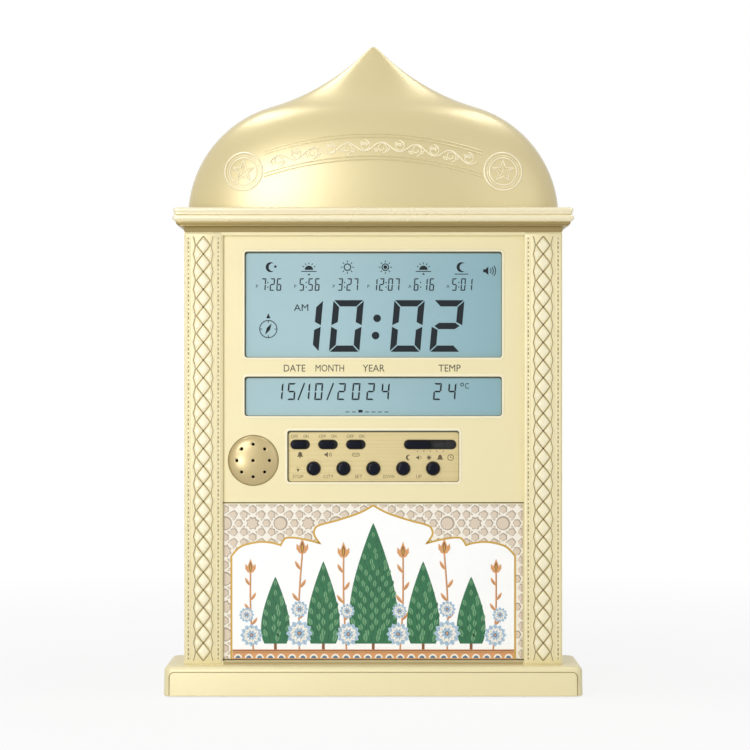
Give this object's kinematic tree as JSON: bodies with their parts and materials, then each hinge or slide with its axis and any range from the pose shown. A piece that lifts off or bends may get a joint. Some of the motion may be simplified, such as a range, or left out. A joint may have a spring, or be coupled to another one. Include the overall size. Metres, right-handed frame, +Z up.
{
  "type": "azan clock",
  "caption": "Arched table or wall prayer-time clock: domed crown, cornice, pillared front, two displays, control plate, loudspeaker cap and plinth.",
  "frame": {"origin": "centre of the footprint, at the level of the surface that the feet stand on", "axes": "+Z up the clock, -Y out of its front, +X to the right as seen from the front"},
  "size_m": [0.217, 0.052, 0.3403],
  "materials": {
    "cream_shell": "satin gold-cream lacquer",
    "gold_shell": "metallic gold lacquer",
    "bronze_shell": "metallic bronze-gold lacquer",
    "panel_gold": "satin gold-cream lacquer",
    "brushed_gold": "brushed gold film",
    "printed_card": "satin colour print",
    "display_glass": "matt grey-blue liquid crystal",
    "light_guide": "milky acrylic",
    "navy_plastic": "glossy blue-black",
    "black_fibre": "matt black",
    "board_green": "solder-masked laminate",
    "chip_black": "matt black resin",
    "can_metal": "drawn can",
    "steel": "zinc plated",
    "contact_steel": "nickel plated",
    "strip_rubber": "soft silicone",
    "foot_rubber": "matt",
    "speaker_steel": "black",
    "speaker_paper": "pressed cone",
    "magnet_ferrite": "ground ferrite",
    "cell_jacket": "plain printed jacket",
    "rear_plastic": "fine-textured gold-beige"
  },
  "bodies": {
    "case": {"plinth": "cream_shell", "base_plate": "black_fibre", "rubber_feet": "foot_rubber", "plinth_screws": "steel", "base_plate_screws": "steel", "front_frame": "cream_shell", "pillar_left": "cream_shell", "pillar_right": "cream_shell", "cornice": "bronze_shell", "dome_crown": "gold_shell", "crown_screws": "steel", "cornice_screws": "steel", "display_panel": "panel_gold", "picture_panel": "panel_gold", "picture_sheet": "printed_card", "panel_screws": "steel", "lcd_main": "display_glass", "lcd_date": "display_glass", "backlight_main": "light_guide", "backlight_date": "light_guide", "conductive_strips": "strip_rubber", "main_board": "board_green", "main_board_screws": "steel", "clock_chips": "chip_black", "crystal": "contact_steel", "capacitors": "can_metal", "temperature_sensor": "chip_black", "control_plate": "brushed_gold", "switch_mask": "black_fibre", "key_board": "board_green", "key_board_screws": "steel", "key_switches": "chip_black", "slide_switches": "contact_steel", "speaker_cap": "cream_shell", "speaker_frame": "speaker_steel", "speaker_cone": "speaker_paper", "speaker_magnet": "magnet_ferrite", "speaker_screws": "steel", "rear_cover": "rear_plastic", "cover_screws": "steel", "battery_1": "cell_jacket", "battery_2": "cell_jacket", "battery_3": "cell_jacket", "battery_contacts": "contact_steel", "battery_springs": "contact_steel", "dc_socket": "chip_black"},
    "button_stop": {"button_stop": "navy_plastic"},
    "button_city": {"button_city": "navy_plastic"},
    "button_set": {"button_set": "navy_plastic"},
    "button_down": {"button_down": "navy_plastic"},
    "button_up": {"button_up": "navy_plastic"},
    "switch_knob_left": {"switch_knob_left": "navy_plastic"},
    "switch_knob_middle": {"switch_knob_middle": "navy_plastic"},
    "switch_knob_right": {"switch_knob_right": "navy_plastic"},
    "mode_switch_knob": {"mode_switch_knob": "navy_plastic"},
    "battery_door": {"battery_door": "rear_plastic"}
  },
  "joints": [
    {"name": "press_stop", "type": "slide", "parent": "case", "child": "button_stop", "axis": [0, 1, 0], "range_m": [0, 0.0008], "stiffness_N_per_m": 800, "springref_m": -0.0005},
    {"name": "press_city", "type": "slide", "parent": "case", "child": "button_city", "axis": [0, 1, 0], "range_m": [0, 0.0008], "stiffness_N_per_m": 800, "springref_m": -0.0005},
    {"name": "press_set", "type": "slide", "parent": "case", "child": "button_set", "axis": [0, 1, 0], "range_m": [0, 0.0008], "stiffness_N_per_m": 800, "springref_m": -0.0005},
    {"name": "press_down", "type": "slide", "parent": "case", "child": "button_down", "axis": [0, 1, 0], "range_m": [0, 0.0008], "stiffness_N_per_m": 800, "springref_m": -0.0005},
    {"name": "press_up", "type": "slide", "parent": "case", "child": "button_up", "axis": [0, 1, 0], "range_m": [0, 0.0008], "stiffness_N_per_m": 800, "springref_m": -0.0005},
    {"name": "slide_left", "type": "slide", "parent": "case", "child": "switch_knob_left", "axis": [1, 0, 0], "range_m": [0, 0.002]},
    {"name": "slide_middle", "type": "slide", "parent": "case", "child": "switch_knob_middle", "axis": [1, 0, 0], "range_m": [0, 0.002]},
    {"name": "slide_right", "type": "slide", "parent": "case", "child": "switch_knob_right", "axis": [1, 0, 0], "range_m": [0, 0.002]},
    {"name": "slide_mode", "type": "slide", "parent": "case", "child": "mode_switch_knob", "axis": [1, 0, 0], "range_m": [0, 0.0134]},
    {"name": "battery_door_hinge", "type": "hinge", "parent": "case", "child": "battery_door", "pos_m": [0, 0.02485, 0.03835], "axis": [-1, 0, 0], "range_deg": [0, 75]}
  ]
}
